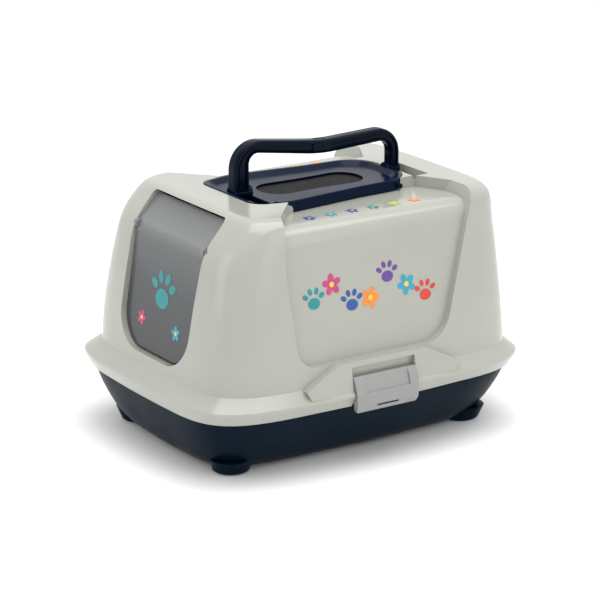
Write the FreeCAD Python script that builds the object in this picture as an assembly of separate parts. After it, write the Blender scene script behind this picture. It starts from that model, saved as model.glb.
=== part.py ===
"""Hooded cat litter box: tray, hood, swing door, filter lid, carbon filter, carry handle and side latches.

Millimetres. +Z is up, the origin is the centre of the footprint on the ground, the door faces -Y.
"""
import FreeCAD, Part
import math
import os

V = FreeCAD.Vector

# ---- driving dimensions ----
WALL = 2.7                # hood wall
TRAY_WALL = 3.0
GAP = 0.3                 # clearance between bodies
OUTLINE_POINTS = 32       # formula points on each plan outline
SPACING_OUTLINE = (165.0, 220.0, 6.5)   # half width, half length and squareness of a typical outline

# tray: (height, half width, half length, squareness)
TRAY_SECTIONS = [(5.0, 130.0, 198.0, 4.8), (7.3, 137.0, 205.5, 5.0), (12.8, 143.5, 212.0, 5.2),
                 (45.0, 165.5, 230.5, 5.4), (81.0, 183.3, 241.2, 5.4), (94.0, 185.2, 243.2, 5.4)]
LIP_Z = 94.0
LIP_TOP = 97.0
LIP_HALF = (188.3, 245.4)
FOOT_X, FOOT_Y = 113.0, 178.0
FOOT_R = 24.0
FOOT_TOP = 18.0

# hood rim: (height, half width, half length)
RIM_POWER = 5.4
RIM_BOTTOM = (80.8, 187.7, 245.4)
RIM_BULGE = (95.0, 196.0, 251.0)
RIM_SHOULDER = (98.5, 196.0, 251.0)
RIM_STEP_Z = LIP_TOP + GAP

# hood: (height, half width, front, rear, squareness, roof share of the normal, front shift, tilt share)
HOOD_SECTIONS = [(112.5, 182.0, -228.5, 234.5, 5.7, 0.0, 1.0, 0.0),
                 (170.0, 174.0, -220.0, 227.2, 6.9, 0.0, 1.0, 0.0),
                 (230.0, 165.5, -208.8, 221.4, 7.5, 0.0, 1.0, 0.2),
                 (272.0, 159.3, -198.6, 217.2, 7.7, 0.0, 1.1, 0.8),
                 (293.0, 156.8, -186.0, 214.8, 8.0, 0.0, 1.3, 1.0),
                 (303.7, 155.2, -176.8, 213.5, 8.0, 0.38, 1.03, 1.0),
                 (312.8, 151.8, -169.3, 210.0, 7.9, 0.71, 0.72, 1.0),
                 (318.9, 145.4, -162.6, 204.2, 7.7, 0.92, 0.5, 1.0),
                 (321.5, 135.5, -152.5, 195.0, 7.4, 1.0, 0.4, 1.0)]
WALL_HEIGHTS = [140.0, 200.0, 250.0]   # sections filled in between those
TILT_Y0 = -140.0          # the roof's height is stated here
ROOF_SLOPE = 0.003

# recess that wraps from each side wall over the roof edge
DECK_Z = 307.5
PANEL_SIDE = [(-117.0, 137.5, 26.0), (-134.0, 345.0, 4.0), (172.0, 345.0, 4.0), (103.0, 137.5, 46.0)]
PANEL_ROOF = [(58.0, -52.0), (132.0, -116.0), (260.0, -160.0), (260.0, 220.0),
              (128.0, 178.0), (58.0, 139.5)]
CORE = [(-20.0, DECK_Z, 0.0), (144.5, DECK_Z, 24.0), (173.5, 110.0, 0.0), (-20.0, 110.0, 0.0)]

# door
PIVOT_Y, PIVOT_Z = -193.0, 278.0
PIVOT_X = 84.0
PIVOT_R = 3.0
RUNNING = 0.05
DOOR_T = 2.6
DOOR_LOW = (-218.6, 128.0)
DOOR_HIGH = (-159.0, 312.3)
DOOR_HALF = [(84.3, 322.0, 5.0), (-84.3, 322.0, 5.0), (-80.5, 127.5, 47.0), (80.5, 127.5, 47.0)]
OPENING_HALF = [(86.3, 317.5, 6.0), (-86.3, 317.5, 6.0), (-82.6, 125.0, 48.0), (82.6, 125.0, 48.0)]
FRAME_T = 2.4             # door frame flange
FRAME_DEPTH = 10.0

# lid
LID_BOTTOM = DECK_Z + GAP
LID_RIM = 322.5
LID_FLOOR = 317.4
LID_WALL = 2.6
LID_OUTLINE = [(66.0, -112.0, 24.0), (79.0, -62.0, 60.0), (66.0, 50.0, 120.0), (63.0, 136.0, 44.0),
               (-63.0, 136.0, 44.0), (-66.0, 50.0, 120.0), (-79.0, -62.0, 60.0), (-66.0, -112.0, 24.0)]
WINDOW = [(30.5, -61.0, 27.0), (27.5, 16.0, 160.0), (30.5, 91.0, 27.0),
          (-30.5, 91.0, 27.0), (-27.5, 16.0, 160.0), (-30.5, -61.0, 27.0)]
NOTCH = (-12.5, -107.0, -81.0)   # lowest x, front y, rear y of the pocket for the front leg
NOTCH_FLOOR = DECK_Z + 1.9
NUB_R = 3.2
NUB_Y, NUB_Z = 112.0, 313.5

# carbon filter
FILTER_HALF_X = 39.0
FILTER_Y = (-71.0, 101.0)
FILTER_T = 6.6
FILTER_R = 18.0
VENT_COUNT = 11
VENT_PITCH = 14.5
VENT_SIZE = (62.0, 6.0)

# carry handle, outlines in the length-height plane: (y, z, radius)
HINGE_Z = 320.0
HANDLE_T = 20.0
HANDLE_OUTER = [(-105.0, HINGE_Z, 0.0), (-103.5, 391.0, 36.0), (28.0, 373.6, 220.0),
                (151.0, 378.0, 34.0), (150.5, HINGE_Z, 0.0)]
HANDLE_INNER = [(136.6, HINGE_Z, 0.0), (136.8, 360.6, 17.0), (28.0, 355.3, 220.0),
                (-82.0, 371.8, 13.0), (-81.6, HINGE_Z, 0.0)]
STUD_R = 3.4
BAND_Y = (14.0, 43.0)
BAND_T = 1.6

# side latch
LATCH_HALF = 47.3
LATCH_X, LATCH_Z = 189.4, 113.0
LATCH_PIN_R = 2.2
CHEEK_HALF = 48.0


# ---- helpers ----
def superellipse(half_x, half_y, power):
    """Points round a rounded box, closest together at its corners; the curve through them bows its sides."""
    points = []
    for i in range(OUTLINE_POINTS):
        angle = 2 * math.pi * (i + 0.5) / OUTLINE_POINTS
        c, s = math.cos(angle), math.sin(angle)
        points.append(V(half_x * math.copysign(abs(c) ** (2 / power), c),
                        half_y * math.copysign(abs(s) ** (2 / power), s), 0))
    return points


def spacing():
    """Curve parameters shared by every outline, so that lofts between them stay even."""
    points = superellipse(*SPACING_OUTLINE)
    values = [0.0]
    for i, point in enumerate(points):
        values.append(values[-1] + point.distanceToPoint(points[(i + 1) % OUTLINE_POINTS]))
    return values


SPACING = spacing()


def plan_wire(z, half_x, y_front, y_rear, power, slope=0.0):
    """Closed smooth outline of a rounded box with slightly bowed sides, at height z, sloping along y."""
    half_y = (y_rear - y_front) / 2
    middle = (y_rear + y_front) / 2
    flat = superellipse(half_x, half_y, power)
    points = [V(p.x, p.y + middle, z + slope * (p.y + middle - TILT_Y0)) for p in flat]
    curve = Part.BSplineCurve()
    curve.interpolate(Points=points, PeriodicFlag=True, Parameters=SPACING)
    return Part.Wire([curve.toShape()])


def loft(sections, ruled=False):
    return Part.makeLoft([plan_wire(*s) for s in sections], True, ruled)


def centred(z, half_x, half_y, power):
    return (z, half_x, -half_y, half_y, power)


def rounded_wire(corners, place):
    """Closed wire through (a, b, radius) corners with tangent arcs; place maps (a, b) to space."""
    count = len(corners)
    ends = []
    for i, (a, b, radius) in enumerate(corners):
        here = V(a, b, 0)
        before = corners[i - 1]
        after = corners[(i + 1) % count]
        d1 = (V(before[0], before[1], 0) - here).normalize()
        d2 = (V(after[0], after[1], 0) - here).normalize()
        turn = math.acos(max(-1.0, min(1.0, d1.dot(d2))))
        if radius <= 0 or abs(turn - math.pi) < 1e-6:
            ends.append((here, None, here))
            continue
        back = radius / math.tan(turn / 2)
        bisector = (d1 + d2).normalize()
        centre = here + bisector * (radius / math.sin(turn / 2))
        middle = centre - bisector * radius
        ends.append((here + d1 * back, middle, here + d2 * back))
    edges = []
    for i, (start, middle, end) in enumerate(ends):
        if middle is not None:
            edges.append(Part.Arc(place(start), place(middle), place(end)).toShape())
        following = ends[(i + 1) % count][0]
        if (following - end).Length > 1e-6:
            edges.append(Part.LineSegment(place(end), place(following)).toShape())
    return Part.Wire(Part.__sortEdges__(edges))


def prism(corners, place, along):
    return Part.Face(rounded_wire(corners, place)).extrude(along)


def plan_prism(corners, z_low, z_high):
    corners = [(c + (0.0,))[:3] for c in corners]
    return prism(corners, lambda p: V(p.x, p.y, z_low), V(0, 0, z_high - z_low))


def side_prism(corners, x_low, x_high):
    return prism(corners, lambda p: V(x_low, p.x, p.y), V(x_high - x_low, 0, 0))


def front_prism(corners, y_low, y_high):
    return prism(corners, lambda p: V(p.x, y_low, p.y), V(0, y_high - y_low, 0))


def box(x, y, z):
    return Part.makeBox(x[1] - x[0], y[1] - y[0], z[1] - z[0], V(x[0], y[0], z[0]))


def rod_x(radius, x_low, x_high, y, z):
    return Part.makeCylinder(radius, x_high - x_low, V(x_low, y, z), V(1, 0, 0))


def rod_y(radius, x, y_low, y_high, z):
    return Part.makeCylinder(radius, y_high - y_low, V(x, y_low, z), V(0, 1, 0))


def mirrored(shape):
    return shape.mirror(V(0, 0, 0), V(1, 0, 0))


def grown(corners, amount):
    """The same outline moved outwards by an amount, for outlines round the origin."""
    wire = rounded_wire([(c + (0.0,))[:3] for c in corners], lambda p: V(p.x, p.y, 0))
    return wire.makeOffset2D(amount)


def grown_prism(corners, amount, z_low, z_high):
    wire = grown(corners, amount)
    wire.translate(V(0, 0, z_low))
    return Part.Face(wire).extrude(V(0, 0, z_high - z_low))


def softened(shape, radius, edges):
    """The shape with these edges filleted, or unchanged where they can't take the radius."""
    try:
        result = shape.makeFillet(radius, edges)
        return result if result.isValid() else shape
    except Part.OCCError:
        return shape


def save(name, shape):
    if shape.ShapeType == "Compound" and len(shape.Solids) == 1:
        shape = shape.Solids[0]
    shape.exportStep(f"parts/{name}.step")
    print(f"{name}: {len(shape.Solids)} solid, {shape.Volume / 1000:.1f} cm3, valid {shape.isValid()}")


# ---- hood ----
def eased(rows, height):
    """The row at a height between the given rows, each of its values on a smooth curve through them."""
    i = max(k for k in range(len(rows) - 1) if rows[k][0] <= height)

    def slope(k, value):
        low, high = rows[max(k - 1, 0)], rows[min(k + 1, len(rows) - 1)]
        return (high[value] - low[value]) / (high[0] - low[0])

    step = rows[i + 1][0] - rows[i][0]
    t = (height - rows[i][0]) / step
    made = [height]
    for value in range(1, len(rows[0])):
        a, b = rows[i][value], rows[i + 1][value]
        bend = (t * (1 - t) ** 2 * slope(i, value) - t * t * (1 - t) * slope(i + 1, value)) * step
        made.append(a + (b - a) * t * t * (3 - 2 * t) + bend)
    return tuple(made)


def hood_body(inset):
    """Smooth outer body of the hood above the rim, moved inwards by inset."""
    sections = []
    rows = sorted(HOOD_SECTIONS + [eased(HOOD_SECTIONS, z) for z in WALL_HEIGHTS])
    for z, half_x, front, rear, power, lift, front_shift, tilt in rows:
        side = inset * math.sqrt(1 - lift * lift)
        sections.append((z - inset * lift, half_x - side, front + inset * front_shift, rear - side, power,
                         ROOF_SLOPE * tilt))
    return loft(sections)


def recess(amount):
    """Both side recesses, their outlines and floor moved outwards and inwards by amount."""
    side = rounded_wire(PANEL_SIDE, lambda p: V(0, p.x, p.y))
    core = rounded_wire(CORE, lambda p: V(p.x, -300, p.y))
    roof = plan_prism(PANEL_ROOF, 100, 400)
    if amount:
        side = side.makeOffset2D(amount)
        core = core.makeOffset2D(-amount)
        roof = grown_prism(PANEL_ROOF, amount, 100, 400)
    side.translate(V(30, 0, 0))
    zone = Part.Face(side).extrude(V(240, 0, 0)).common(roof)
    zone = zone.cut(Part.Face(core).extrude(V(0, 600, 0)))
    return [zone, mirrored(zone)]


def rim_ring():
    top = HOOD_SECTIONS[0][:5]
    outer = [centred(*RIM_BOTTOM, RIM_POWER), centred(*RIM_BULGE, RIM_POWER),
             centred(*RIM_SHOULDER, RIM_POWER), top]
    ring = loft(outer, ruled=True)
    z, hx, hy = RIM_BOTTOM
    zb, bx, by = RIM_BULGE
    skirt = loft([centred(z - 1, hx - WALL - 0.4, hy - WALL - 0.4, RIM_POWER),
                  centred(RIM_STEP_Z, bx - WALL, by - WALL, RIM_POWER)], ruled=True)
    z1, hx1, yf1, yr1, n1 = top
    throat = loft([(RIM_STEP_Z - 1, 182.5, -240.2, 240.8, RIM_POWER),
                   (z1, hx1 - WALL, yf1 + WALL, yr1 - WALL, n1)], ruled=True)
    return ring.cut(skirt).cut(throat)


def latch_blister():
    """Raised shoulder of the hood wall that the +X latch sits in."""
    face = side_prism([(-116.0, 112.0, 0.0), (-58.0, 142.0, 14.0), (58.0, 142.0, 14.0),
                       (116.0, 112.0, 0.0), (110.0, 100.0, 0.0), (-110.0, 100.0, 0.0)], 168.0, 200.0)
    slope = front_prism([(168.0, 99.0, 0.0), (195.2, 99.0, 0.0), (186.6, 143.0, 3.0),
                         (168.0, 143.0, 0.0)], -120.0, 120.0)
    return face.common(slope)


def door_frame():
    """Solid zone just behind the front wall round the door opening, kept out of the hollow."""
    big = [(math.copysign(abs(x) + FRAME_T, x), z + (FRAME_T if z > 200 else -FRAME_T), r + FRAME_T)
           for x, z, r in OPENING_HALF]
    depth = side_prism([(-240.0, 110.0, 0.0), (-224.5 + FRAME_DEPTH, 110.0, 0.0),
                        (-198.0 + FRAME_DEPTH, 275.0, 8.0), (-153.0 + FRAME_DEPTH, 318.0, 0.0),
                        (-153.0 + FRAME_DEPTH, 340.0, 0.0), (-240.0, 340.0, 0.0)], -120, 120)
    return front_prism(big, -260, -120).common(depth)


def hood_shell():
    """Thin walls of the hood with both side recesses, the floor of the lid pocket and the door frame."""
    blister = latch_blister()
    solid = hood_body(0.0).fuse([blister, mirrored(blister)]).cut(recess(0.0))
    lid_room = grown_prism(LID_OUTLINE, 3.6, DECK_Z - WALL, 360)
    channel_floor = box((-16.0, 63.0), (130.0, 163.0), (303.4, 330))
    cavity = hood_body(WALL).cut(recess(WALL) + [lid_room, channel_floor, door_frame()])
    return solid.cut(cavity)


def hood_openings():
    """Everything cut out of the hood: door, lid pocket, latch pockets, bores, handle channel and vents."""
    tools = [front_prism(OPENING_HALF, -300, -120), grown_prism(LID_OUTLINE, 0.9, DECK_Z, 360)]
    pocket = box((183.2, 230), (-CHEEK_HALF, CHEEK_HALF), (70, 131))
    pin = rod_y(LATCH_PIN_R + RUNNING, LATCH_X, -LATCH_HALF - 4.6, LATCH_HALF + 4.6, LATCH_Z)
    tools += [pocket, mirrored(pocket), pin, mirrored(pin)]
    tools.append(rod_x(PIVOT_R + RUNNING, -PIVOT_X - 4.6, PIVOT_X + 4.6, PIVOT_Y, PIVOT_Z))
    groove = side_prism([(136.0, 306.3, 0.0), (158.0, 306.3, 5.0), (161.0, 330.0, 0.0), (136.0, 330.0, 0.0)],
                        -13.0, 60.0)
    tools.append(groove.common(front_prism([(-13.0, 306.3, 5.0), (14.0, 306.3, 12.0), (60.0, 314.0, 8.0),
                                            (60.0, 332.0, 0.0), (-13.0, 332.0, 0.0)], 130, 170)))
    half_x, half_y = VENT_SIZE[0] / 2, VENT_SIZE[1] / 2
    for i in range(VENT_COUNT):
        y = (FILTER_Y[0] + FILTER_Y[1]) / 2 + (i - (VENT_COUNT - 1) / 2) * VENT_PITCH
        tools.append(plan_prism([(half_x, y - half_y, 2.9), (half_x, y + half_y, 2.9),
                                 (-half_x, y + half_y, 2.9), (-half_x, y - half_y, 2.9)],
                                DECK_Z - 10, DECK_Z + 1))
    return tools


def make_hood():
    hood = hood_shell().cut(hood_openings())
    pocket = box((183.2, 230), (-CHEEK_HALF, CHEEK_HALF), (70, 131))
    pin = rod_y(LATCH_PIN_R + RUNNING, LATCH_X, -LATCH_HALF - 4.6, LATCH_HALF + 4.6, LATCH_Z)
    rim = rim_ring().cut([pocket, mirrored(pocket), pin, mirrored(pin)])
    tab = box((78.6, 81.2), (-84.0, -64.0), (DECK_Z - 2, 318.0))
    top_corners = [e for e in tab.Edges if abs(e.BoundBox.ZMin - 318.0) < 0.01 and e.BoundBox.XLength > 1]
    tab = softened(tab, 6.0, top_corners)
    return hood.fuse([rim, tab, mirrored(tab)])


# ---- tray ----
def make_tray():
    outer = loft([centred(*s) for s in TRAY_SECTIONS])
    lip = loft([centred(LIP_Z, *LIP_HALF, RIM_POWER), centred(LIP_TOP, *LIP_HALF, RIM_POWER)], ruled=True)
    solid = outer.fuse(lip)
    feet = []
    for sx in (-1, 1):
        for sy in (-1, 1):
            circles = [Part.Wire([Part.Circle(V(sx * (FOOT_X + lean), sy * (FOOT_Y + lean), z), V(0, 0, 1),
                                              FOOT_R + more).toShape()])
                       for z, lean, more in ((0.0, 0.0, -3.0), (2.5, 0.8, 0.0), (FOOT_TOP, 5.0, 1.0))]
            feet.append(Part.makeLoft(circles, True, True))
    solid = solid.fuse(feet)
    inner = [centred(z + (TRAY_WALL if i < 3 else 0.0), hx - TRAY_WALL, hy - TRAY_WALL, n)
             for i, (z, hx, hy, n) in enumerate(TRAY_SECTIONS)]
    inner[-1] = centred(LIP_TOP + 1, inner[-1][1], TRAY_SECTIONS[-1][2] - TRAY_WALL, RIM_POWER)
    return solid.cut(loft(inner)).removeSplitter()


# ---- door ----
def make_door():
    (y0, z0), (y1, z1) = DOOR_LOW, DOOR_HIGH
    t = DOOR_T / 2
    n1 = V(0, PIVOT_Z - z0, -(PIVOT_Y - y0)).normalize() * t
    n2 = V(0, z1 - PIVOT_Z, -(y1 - PIVOT_Y)).normalize() * t
    nm = (n1 + n2).normalize() * (t / math.cos(n1.getAngle(n2) / 2))
    plate = side_prism([(y0 - n1.y, z0 - n1.z, 0.8), (PIVOT_Y - nm.y, PIVOT_Z - nm.z, 16.0),
                        (y1 - n2.y, z1 - n2.z, 0.8), (y1 + n2.y, z1 + n2.z, 0.8),
                        (PIVOT_Y + nm.y, PIVOT_Z + nm.z, 13.4), (y0 + n1.y, z0 + n1.z, 0.8)], -90, 90)
    plate = plate.common(front_prism(DOOR_HALF, -300, -100))
    door = plate
    for sx in (-1, 1):
        low, high = sorted((sx * (PIVOT_X - 6.0), sx * (PIVOT_X + 0.6)))
        boss = rod_x(5.6, low, high, PIVOT_Y, PIVOT_Z)
        low, high = sorted((sx * (PIVOT_X - 1.0), sx * (PIVOT_X + 4.2)))
        door = door.fuse([boss, rod_x(PIVOT_R, low, high, PIVOT_Y, PIVOT_Z)])
    return door.removeSplitter()


# ---- lid, filter ----
def make_lid():
    lid = plan_prism(LID_OUTLINE, LID_BOTTOM, LID_RIM)
    lid = softened(lid, 1.6, [e for e in lid.Edges if abs(e.BoundBox.ZMin - LID_RIM) < 0.01])
    dish_low = grown(LID_OUTLINE, -15.0)
    dish_high = grown(LID_OUTLINE, -5.0)
    dish_low.translate(V(0, 0, LID_FLOOR))
    dish_high.translate(V(0, 0, LID_RIM + 0.1))
    dish = Part.makeLoft([dish_low, dish_high], True, True)
    lid = lid.cut(dish)
    hollow = grown_prism(LID_OUTLINE, -LID_WALL, LID_BOTTOM - 1, LID_FLOOR - 2.2)
    walls = box((NOTCH[0] - 2.4, 120), (NOTCH[1] - 2.4, NOTCH[2] + 4.4), (LID_BOTTOM - 2, LID_RIM))
    lid = lid.cut(hollow.cut(walls))
    # pocket for the front leg, open towards +X
    notch = box((NOTCH[0], 120), (NOTCH[1], NOTCH[2]), (NOTCH_FLOOR, 340))
    lid = lid.cut(notch)
    lid = lid.cut(plan_prism(WINDOW, LID_FLOOR - 10, LID_RIM + 1))
    # ears that carry the handle studs
    ears = []
    for low, high in ((NOTCH[2], NOTCH[2] + 4.2), (131.6, 136.0)):
        ear = rod_y(8.4, 0, low, high, HINGE_Z).fuse(box((-8.4, 8.4), (low, high), (LID_BOTTOM, HINGE_Z)))
        ears.append(ear)
    lid = lid.fuse(ears)
    lid = lid.cut([rod_y(STUD_R + RUNNING, 0, NOTCH[2] - 1, NOTCH[2] + 5.5, HINGE_Z),
                   rod_y(STUD_R + RUNNING, 0, 130.4, 137.5, HINGE_Z)])
    for sx in (-1, 1):
        low, high = sorted((sx * 54.0, sx * 66.0))
        lid = lid.fuse(rod_x(NUB_R, low, high, NUB_Y, NUB_Z))
    return lid.removeSplitter()


def make_filter():
    y0, y1 = FILTER_Y
    corners = [(FILTER_HALF_X, y0, FILTER_R), (FILTER_HALF_X, y1, FILTER_R),
               (-FILTER_HALF_X, y1, FILTER_R), (-FILTER_HALF_X, y0, FILTER_R)]
    return plan_prism(corners, DECK_Z + GAP, DECK_Z + FILTER_T)


# ---- handle ----
def handle_solid(inset):
    wire = rounded_wire(HANDLE_OUTER + HANDLE_INNER, lambda p: V(0, p.x, p.y))
    if inset:
        wire = wire.makeOffset2D(-inset)
    half = HANDLE_T / 2 - inset
    wire.translate(V(-half, 0, 0))
    body = Part.Face(wire).extrude(V(2 * half, 0, 0))
    rims = [e for e in body.Edges if e.BoundBox.XLength < 0.01]
    return softened(body, 5.0 - inset, rims)


def make_handle():
    full = handle_solid(0.0)
    handle = full
    for low, high in ((-104.9, -81.7), (136.7, 150.4)):
        foot = rod_y(HANDLE_T / 2, 0, low, high, HINGE_Z)
        handle = handle.fuse(foot)
    # fluted sides
    wire = rounded_wire(HANDLE_OUTER + HANDLE_INNER, lambda p: V(0, p.x, p.y))
    band_cuts = []
    for inset, sign in ((4.6, 1), (4.6, -1)):
        face = wire.makeOffset2D(-inset)
        face.translate(V(sign * (HANDLE_T / 2 - 2.4), 0, 0))
        band_cuts.append(Part.Face(face).extrude(V(sign * 5.0, 0, 0)))
    rib = wire.makeOffset2D(-7.6)
    rib.translate(V(-HANDLE_T / 2 + 1.0, 0, 0))
    ribs = Part.Face(rib).extrude(V(HANDLE_T - 2.0, 0, 0))
    slab = box((-40, 40), BAND_Y, (340, 400))
    inner = handle_solid(BAND_T)
    handle = handle.cut([c.cut(slab) for c in band_cuts]).fuse(ribs)
    handle = handle.cut(slab.cut(inner))
    studs = [rod_y(STUD_R, 0, -83.0, NOTCH[2] + 3.6, HINGE_Z), rod_y(STUD_R, 0, 132.2, 138.0, HINGE_Z)]
    handle = handle.fuse(studs).removeSplitter()
    band = full.common(slab).cut(inner)
    middle = sum(BAND_Y) / 2
    dimple = Part.makeCylinder(4.6, 4.0, V(0, middle - 4, 373.6), V(0, 0, 1))
    dimple = dimple.fuse([Part.makeCylinder(4.6, 4.0, V(0, middle + 4, 373.6), V(0, 0, 1)),
                          box((-4.6, 4.6), (middle - 4, middle + 4), (373.6, 377.6))])
    return handle, band.cut(dimple).removeSplitter()


# ---- latch ----
def make_latch():
    profile = [(184.0, 113.0, 0.0), (186.2, 108.6, 0.0), (191.8, 106.6, 0.0),
               (191.8, 93.6, 0.8), (188.5, 93.6, 0.5),
               (189.4, 86.2, 0.6), (192.4, 84.6, 1.5), (192.8, 73.4, 1.0), (196.4, 71.6, 2.0),
               (200.6, 80.0, 12.0), (201.6, 96.0, 14.0), (197.6, 110.0, 6.0), (192.6, 118.0, 3.0)]
    body = front_prism(profile, -LATCH_HALF, LATCH_HALF)
    body = body.fuse(rod_y(5.4, LATCH_X, -LATCH_HALF, LATCH_HALF, LATCH_Z))
    # lower middle between the raised ends
    sink = front_prism([(199.0, 98.0, 0.0), (210.0, 98.0, 0.0), (210.0, 124.0, 0.0), (190.6, 124.0, 0.0)],
                       -34.0, 34.0)
    body = body.cut(sink)
    # corners rounded in the side view
    body = body.common(side_prism([(-LATCH_HALF, 125.0, 0.0), (-LATCH_HALF + 1.0, 70.0, 9.0),
                                   (LATCH_HALF - 1.0, 70.0, 9.0), (LATCH_HALF, 125.0, 0.0)], 150, 220))
    slot = box((180, 215), (-16.5, 16.5), (78.4, 81.0))
    body = body.cut(slot)
    pin = rod_y(LATCH_PIN_R, LATCH_X, -LATCH_HALF - 4.0, LATCH_HALF + 4.0, LATCH_Z)
    return body.fuse(pin).removeSplitter()


def main():
    os.makedirs("parts", exist_ok=True)
    save("base_tray", make_tray())
    save("hood_shell", make_hood())
    save("entry_door", make_door())
    save("filter_lid", make_lid())
    save("carbon_filter", make_filter())
    handle, band = make_handle()
    save("carry_handle", handle)
    save("handle_band", band)
    latch = make_latch()
    save("side_latch_right", latch)
    save("side_latch_left", mirrored(latch))


main()
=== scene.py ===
"""Looks for a hooded cat litter box: moulded plastics, smoky swing door, carbon felt and printed artwork."""
import math
import random

import bmesh
import bpy
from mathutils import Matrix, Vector
from mathutils.bvhtree import BVHTree


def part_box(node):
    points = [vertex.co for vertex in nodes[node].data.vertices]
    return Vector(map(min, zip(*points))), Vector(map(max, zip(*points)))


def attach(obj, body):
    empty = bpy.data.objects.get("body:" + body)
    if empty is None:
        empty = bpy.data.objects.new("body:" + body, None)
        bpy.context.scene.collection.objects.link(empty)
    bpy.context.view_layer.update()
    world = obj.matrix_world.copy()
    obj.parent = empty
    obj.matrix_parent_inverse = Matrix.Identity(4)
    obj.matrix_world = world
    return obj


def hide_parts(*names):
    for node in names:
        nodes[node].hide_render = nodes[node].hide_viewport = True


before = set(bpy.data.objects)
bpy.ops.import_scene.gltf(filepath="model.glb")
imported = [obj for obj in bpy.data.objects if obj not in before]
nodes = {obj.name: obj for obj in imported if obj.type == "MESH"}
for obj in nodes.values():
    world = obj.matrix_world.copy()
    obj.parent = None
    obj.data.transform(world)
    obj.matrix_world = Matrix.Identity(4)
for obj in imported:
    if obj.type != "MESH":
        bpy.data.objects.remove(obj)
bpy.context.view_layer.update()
MM = 0.001
RAY_START = 0.09          # how far outside the surface a print is dropped from
PRINT_LIFT = 0.3          # mm, a print above its surface
EYE_LIFT = 0.38           # mm, a flower's middle above its surface


# ---- materials ----
class Shader:
    """A principled material with helpers for its node tree."""

    def __init__(self, name):
        self.m = bpy.data.materials.new(name)
        self.m.use_nodes = True
        self.tree = self.m.node_tree
        self.main = self.tree.nodes["Principled BSDF"]
        self.place = self.node("ShaderNodeTexCoord").outputs["Object"]

    def node(self, kind):
        return self.tree.nodes.new(kind)

    def link(self, a, b):
        self.tree.links.new(a, b)

    def set(self, **values):
        for key, value in values.items():
            self.main.inputs[key.replace("_", " ")].default_value = value

    def noise(self, scale, detail=2.0, rough=0.5, stretch=None):
        made = self.node("ShaderNodeTexNoise")
        made.inputs["Scale"].default_value = scale
        made.inputs["Detail"].default_value = detail
        made.inputs["Roughness"].default_value = rough
        place = self.place
        if stretch:
            mapping = self.node("ShaderNodeMapping")
            mapping.inputs["Scale"].default_value = stretch
            self.link(place, mapping.inputs["Vector"])
            place = mapping.outputs["Vector"]
        self.link(place, made.inputs["Vector"])
        return made.outputs["Fac"]

    def spread(self, source, low, high, from_low=0.3, from_high=0.7):
        made = self.node("ShaderNodeMapRange")
        made.inputs["From Min"].default_value = from_low
        made.inputs["From Max"].default_value = from_high
        made.inputs["To Min"].default_value = low
        made.inputs["To Max"].default_value = high
        self.link(source, made.inputs["Value"])
        return made.outputs["Result"]

    def ramp(self, source, stops):
        made = self.node("ShaderNodeValToRGB")
        elements = made.color_ramp.elements
        while len(elements) < len(stops):
            elements.new(0.5)
        for element, (position, colour) in zip(elements, stops):
            element.position = position
            element.color = tuple(colour) + (1.0,)
        self.link(source, made.inputs["Fac"])
        return made.outputs["Color"]

    def bump(self, height, strength, distance, below=None):
        made = self.node("ShaderNodeBump")
        made.inputs["Strength"].default_value = strength
        made.inputs["Distance"].default_value = distance
        self.link(height, made.inputs["Height"])
        if below is not None:
            self.link(below, made.inputs["Normal"])
        return made.outputs["Normal"]


def tinted(colour, share):
    return tuple(c * share for c in colour)


def plastic(name, colour, roughness, coat=0.0, grain=0.12, variation=0.05, mirror=0.5):
    """Moulded plastic: faint flow marks in colour and gloss, a fine moulded grain and softly polished areas."""
    s = Shader(name)
    s.set(Coat_Weight=coat, Coat_Roughness=0.12, IOR=1.5, Specular_IOR_Level=mirror)
    flow = s.noise(7.0, 3.0, 0.55, (1.0, 0.5, 1.6))
    colours = s.ramp(flow, [(0.3, tinted(colour, 1 - variation)), (0.7, tinted(colour, 1 + variation))])
    s.link(colours, s.main.inputs["Base Color"])
    polish = s.noise(18.0, 4.0, 0.6)
    s.link(s.spread(polish, roughness - 0.05, roughness + 0.06), s.main.inputs["Roughness"])
    fine = s.bump(s.noise(1500.0, 2.0), grain, 0.0001)
    s.link(s.bump(s.noise(28.0, 1.0), 0.10, 0.0006, fine), s.main.inputs["Normal"])
    return s.m


def smoky(name):
    """Smoky see-through plastic with painted light: a painted sky reflection makes the upturned top of the door
    lighter, with a painted highlight band near the top, and the door is a little darker towards the bottom.
    """
    s = Shader(name)
    s.set(Alpha=0.9, IOR=1.49, Coat_Weight=0.3, Coat_Roughness=0.1, Specular_IOR_Level=0.35)
    split = s.node("ShaderNodeSeparateXYZ")
    s.link(s.place, split.inputs["Vector"])
    # painted light: this ramp over height paints the upper door lighter as a painted sky reflection, and its
    # brightest stop is a painted highlight band near the top edge
    height = s.spread(split.outputs["Z"], 0.0, 1.0, 0.13, 0.31)
    colours = s.ramp(height, [(0.0, (0.036, 0.041, 0.046)), (0.45, (0.068, 0.074, 0.078)),
                              (0.75, (0.128, 0.135, 0.137)), (0.84, (0.21, 0.218, 0.22)),
                              (1.0, (0.15, 0.156, 0.158))])
    s.link(colours, s.main.inputs["Base Color"])
    haze = s.noise(26.0, 4.0, 0.6)
    s.link(s.spread(haze, 0.2, 0.32), s.main.inputs["Roughness"])
    s.link(s.bump(s.noise(40.0, 1.0), 0.08, 0.0004), s.main.inputs["Normal"])
    return s.m


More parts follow.
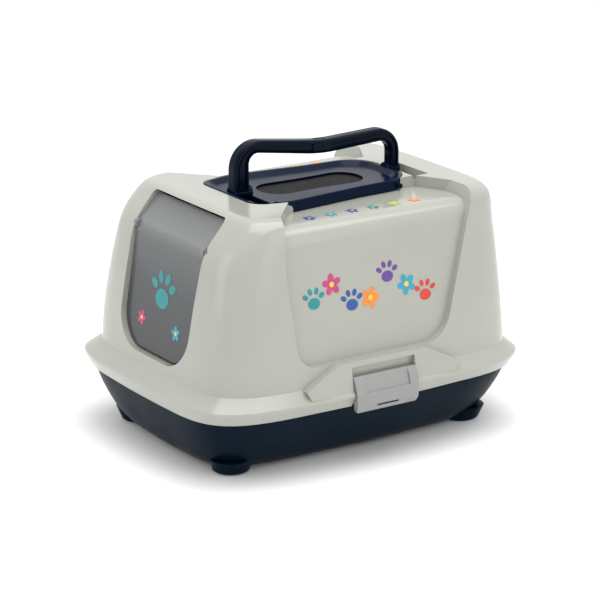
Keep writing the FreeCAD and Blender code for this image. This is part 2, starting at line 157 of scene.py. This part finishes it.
def felt(name):
    """Dark carbon felt with matted fibres and paler specks."""
    s = Shader(name)
    long_fibres = s.noise(420.0, 6.0, 0.7, (1.0, 0.35, 1.0))
    specks = s.noise(150.0, 8.0, 0.75)
    colours = s.ramp(specks, [(0.32, (0.0015, 0.0015, 0.0015)), (0.52, (0.005, 0.0049, 0.0046)),
                              (0.66, (0.022, 0.021, 0.0195)), (0.8, (0.07, 0.067, 0.062))])
    s.link(colours, s.main.inputs["Base Color"])
    s.set(Roughness=0.95, Sheen_Weight=0.03, Sheen_Roughness=0.6)
    rough = s.bump(long_fibres, 0.8, 0.0012)
    s.link(s.bump(specks, 0.9, 0.002, rough), s.main.inputs["Normal"])
    return s.m


def ink(name, colour, roughness=0.38):
    """Printed film: even colour with a slight mottle and a fine screen texture."""
    s = Shader(name)
    mottle = s.noise(90.0, 3.0, 0.5)
    s.link(s.ramp(mottle, [(0.3, tinted(colour, 0.9)), (0.7, tinted(colour, 1.08))]),
           s.main.inputs["Base Color"])
    s.link(s.spread(s.noise(300.0, 2.0), roughness - 0.05, roughness + 0.05), s.main.inputs["Roughness"])
    s.link(s.bump(s.noise(1200.0, 1.0), 0.1, 0.00005), s.main.inputs["Normal"])
    return s.m


def shaded(obj, material):
    obj.data.materials.clear()
    obj.data.materials.append(material)


HOOD = plastic("hood_plastic", (0.362, 0.368, 0.325), 0.2, coat=0.35, variation=0.012)
TRAY = plastic("tray_plastic", (0.0005, 0.0068, 0.0155), 0.34, mirror=0.06)
LID = plastic("lid_plastic", (0.001, 0.0068, 0.024), 0.2, mirror=0.1)
HANDLE = plastic("handle_plastic", (0.0003, 0.0035, 0.012), 0.2, mirror=0.09)
LATCH = plastic("latch_plastic", (0.27, 0.27, 0.265), 0.32, coat=0.1, variation=0.015)
for node, material in (("hood_shell", HOOD), ("base_tray", TRAY), ("filter_lid", LID),
                       ("carry_handle", HANDLE), ("handle_band", HANDLE), ("side_latch_right", LATCH),
                       ("side_latch_left", LATCH), ("entry_door", smoky("door_plastic")),
                       ("carbon_filter", felt("filter_felt"))):
    shaded(nodes[node], material)


# ---- printed artwork, generic shapes laid on the surfaces ----
def surface(node):
    mesh = nodes[node].data
    mesh.calc_loop_triangles()
    points = [v.co.copy() for v in mesh.vertices]
    return BVHTree.FromPolygons(points, [t.vertices[:] for t in mesh.loop_triangles])


class Print:
    """Flat shapes drawn in a plane and dropped along a direction onto a surface, slightly raised."""

    def __init__(self, node, body, origin, across, up, towards):
        self.tree = surface(node)
        self.body = body
        self.origin = Vector(origin)
        self.across = Vector(across)
        self.up = Vector(up)
        self.towards = Vector(towards).normalized()

    def on(self, a, b, lift):
        place = self.origin + self.across * (a * MM) + self.up * (b * MM)
        start = place - self.towards * RAY_START
        hit, normal, _, _ = self.tree.ray_cast(start, self.towards)
        if hit is None:
            return None
        if normal.dot(self.towards) > 0:
            normal = -normal
        return hit + normal * (lift * MM)

    def lay(self, name, shapes, material, lift, slot):
        """One thin mesh from closed outlines, each a list of (a, b); a shape off the surface is left out."""
        made = bmesh.new()
        for outline in shapes:
            count = len(outline)
            middle = (sum(p[0] for p in outline) / count, sum(p[1] for p in outline) / count)
            rings = []
            for share in (1.0, 0.5):
                ring = [self.on(middle[0] + (a - middle[0]) * share, middle[1] + (b - middle[1]) * share, lift)
                        for a, b in outline]
                rings.append(ring)
            centre = self.on(*middle, lift)
            if centre is None or any(p is None for ring in rings for p in ring):
                continue
            outer, inner = [[made.verts.new(p) for p in ring] for ring in rings]
            tip = made.verts.new(centre)
            for i in range(count):
                j = (i + 1) % count
                made.faces.new((outer[i], outer[j], inner[j], inner[i]))
                made.faces.new((inner[i], inner[j], tip))
        mesh = bpy.data.meshes.new(name)
        made.to_mesh(mesh)
        made.free()
        piece = bpy.data.objects.new(name, mesh)
        bpy.context.scene.collection.objects.link(piece)
        shaded(piece, material)
        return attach(piece, self.body)


def disc(a, b, radius_a, radius_b, turn=0.0, count=28):
    c, s = math.cos(turn), math.sin(turn)
    points = []
    for i in range(count):
        angle = 2 * math.pi * i / count
        x, y = radius_a * math.cos(angle), radius_b * math.sin(angle)
        points.append((a + c * x - s * y, b + s * x + c * y))
    return points


def flower(a, b, size, turn):
    petals = []
    for i in range(5):
        angle = turn + 2 * math.pi * i / 5
        petals.append(disc(a + 0.62 * size * math.cos(angle), b + 0.62 * size * math.sin(angle),
                           0.46 * size, 0.34 * size, angle, 16))
    return petals


def paw(a, b, size):
    """A plain paw print: one broad pad and four toes."""
    shapes = [disc(a, b - 0.2 * size, 0.52 * size, 0.42 * size)]
    for degrees in (28, 70, 110, 152):
        angle = math.radians(degrees)
        shapes.append(disc(a + 0.8 * size * math.cos(angle), b + 0.72 * size * math.sin(angle),
                           0.27 * size, 0.19 * size, angle, 16))
    return shapes


RED = ink("ink_red", (0.55, 0.045, 0.03))
ORANGE = ink("ink_orange", (0.75, 0.23, 0.03))
YELLOW = ink("ink_yellow", (0.80, 0.52, 0.05))
PINK = ink("ink_pink", (0.48, 0.045, 0.17))
TEAL = ink("ink_teal", (0.01, 0.24, 0.25))
BLUE = ink("ink_blue", (0.015, 0.08, 0.30))
VIOLET = ink("ink_violet", (0.12, 0.05, 0.25))
LIME = ink("ink_lime", (0.50, 0.55, 0.04))
CYAN = ink("ink_cyan", (0.03, 0.30, 0.42))


def blossom(prints, name, a, b, size, turn, colour, slot):
    """One five-petal flower with a yellow middle."""
    prints.lay(name, flower(a, b, size, turn), colour, PRINT_LIFT, slot)
    prints.lay(name + "_eye", [disc(a, b, size * 0.26, size * 0.26)], YELLOW, EYE_LIFT, slot)


def artwork(mirror):
    """A wavy row of paw prints and flowers on one side wall, and a row of flowers on the roof edge above it;
    mirror is 1 for +X, -1 for -X."""
    tag = "right" if mirror > 0 else "left"
    wall = Print("hood_shell", "hood", (0.165 * mirror, 0, 0), (0, 1, 0), (0, 0, 1), (-mirror, 0, 0))
    for i, colour in enumerate((TEAL, PINK, BLUE, ORANGE, VIOLET, CYAN, RED)):
        y, z = -84 + 28 * i, 216 + 17 * math.sin(1.9 * i)
        if i % 2:
            blossom(wall, f"flower_{tag}_{i}", y, z, 13, 0.4 * i, colour, "hood_plastic")
        else:
            wall.lay(f"paw_{tag}_{i}", paw(y, z, 17), colour, PRINT_LIFT, "hood_plastic")
    roof = Print("hood_shell", "hood", (0, 0, 0.33), (1, 0, 0), (0, 1, 0), (0, 0, -1))
    for i, colour in enumerate((BLUE, CYAN, VIOLET, TEAL, LIME, ORANGE)):
        blossom(roof, f"roof_flower_{tag}_{i}", 112 * mirror, -60 + 32 * i, 8, 0.9 * i, colour, "hood_plastic")


artwork(1)
artwork(-1)
door_print = Print("entry_door", "door", (0, -0.21, 0), (1, 0, 0), (0, 0, 1), (0, 1, 0))
door_print.lay("door_paw", paw(0, 205, 30), TEAL, PRINT_LIFT, "door_plastic")
for i, (x, colour) in enumerate(((-42, PINK), (42, CYAN))):
    blossom(door_print, f"door_flower_{i}", x, 165, 9, 0.5 * i, colour, "door_plastic")


# ---- carbon felt pad: matted top and loose fibres in place of the plain block ----
PAD_INSET = 0.0006


def felt_pad():
    low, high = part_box("carbon_filter")
    middle = (low + high) / 2
    half_x, half_y = (high.x - low.x) / 2 - PAD_INSET, (high.y - low.y) / 2 - PAD_INSET
    generator = random.Random(7)
    made = bmesh.new()
    rows, columns = 60, 110
    grid = {}
    for i in range(rows + 1):
        for j in range(columns + 1):
            s, t = 2 * i / rows - 1, 2 * j / columns - 1
            x = half_x * s * math.sqrt(max(0.0, 1 - 0.16 * t ** 8))
            y = half_y * t * math.sqrt(max(0.0, 1 - 0.10 * s ** 8))
            edge = max(abs(s), abs(t)) ** 10
            for level in (0, 1):
                rough = generator.uniform(-0.00035, 0.0) if level else 0.0
                z = (high.z - 0.0002 - 0.0012 * edge + rough) if level else low.z + 0.0002
                grid[i, j, level] = made.verts.new((middle.x + x, middle.y + y, z))
    for i in range(rows):
        for j in range(columns):
            for level in (0, 1):
                corner = [grid[i, j, level], grid[i + 1, j, level],
                          grid[i + 1, j + 1, level], grid[i, j + 1, level]]
                made.faces.new(corner if level else corner[::-1])
    border = [(i, 0) for i in range(rows)] + [(rows, j) for j in range(columns)]
    border += [(i, columns) for i in range(rows, 0, -1)] + [(0, j) for j in range(columns, 0, -1)]
    for k, here in enumerate(border):
        there = border[(k + 1) % len(border)]
        made.faces.new((grid[(*here, 0)], grid[(*there, 0)], grid[(*there, 1)], grid[(*here, 1)]))
    mesh = bpy.data.meshes.new("felt_pad")
    made.to_mesh(mesh)
    made.free()
    mesh.shade_smooth()
    pad = bpy.data.objects.new("felt_pad", mesh)
    bpy.context.scene.collection.objects.link(pad)
    shaded(pad, felt("felt_surface"))
    return pad


pad = felt_pad()
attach(pad, "hood")
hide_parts("carbon_filter")


# ---- setting ----
def area_light(name, place, aim, size, power):
    data = bpy.data.lights.new(name, "AREA")
    data.shape = "RECTANGLE"
    data.size, data.size_y = size
    data.energy = power
    light = bpy.data.objects.new(name, data)
    bpy.context.scene.collection.objects.link(light)
    light.location = place
    light.rotation_euler = (Vector(aim) - Vector(place)).to_track_quat("-Z", "Y").to_euler()


area_light("top_softbox", (0.2, 0.1, 2.4), (0, 0, 0.2), (2.4, 2.4), 44)
area_light("side_softbox", (2.4, 0.7, 1.0), (0, 0, 0.2), (1.4, 1.6), 6)
area_light("front_softbox", (-0.7, -2.4, 1.0), (0, 0, 0.2), (1.2, 1.6), 5.5)

world = bpy.data.worlds.new("studio")
world.use_nodes = True
world.node_tree.nodes["Background"].inputs["Color"].default_value = (1.0, 1.0, 1.0, 1.0)
world.node_tree.nodes["Background"].inputs["Strength"].default_value = 0.95
bpy.context.scene.world = world
bpy.context.scene.view_settings.view_transform = "Standard"

FLOOR_GAP = 0.0005
ground = bmesh.new()
bmesh.ops.create_grid(ground, x_segments=1, y_segments=1, size=40.0)
ground_mesh = bpy.data.meshes.new("studio_floor")
ground.to_mesh(ground_mesh)
ground.free()
floor = bpy.data.objects.new("studio_floor", ground_mesh)
bpy.context.scene.collection.objects.link(floor)
floor.location.z = -FLOOR_GAP
floor_shader = Shader("studio_floor")
floor_shader.set(Base_Color=(0.93, 0.93, 0.93, 1.0), Roughness=0.9)
shaded(floor, floor_shader.m)

CAMERA_PLACE = (2.6575, -1.7525, 1.1592)
LENS = 153.4
AZIMUTH, ELEVATION = 56.6, 17.4
camera_data = bpy.data.cameras.new("camera")
camera_data.lens = LENS
camera_data.sensor_width = 36.0
camera_data.clip_end = 100.0
camera = bpy.data.objects.new("camera", camera_data)
bpy.context.scene.collection.objects.link(camera)
camera.location = CAMERA_PLACE
azimuth, elevation = math.radians(AZIMUTH), math.radians(ELEVATION)
view_line = -Vector((math.cos(elevation) * math.sin(azimuth), -math.cos(elevation) * math.cos(azimuth),
                     math.sin(elevation)))
camera.rotation_euler = view_line.to_track_quat("-Z", "Y").to_euler()
bpy.context.scene.camera = camera
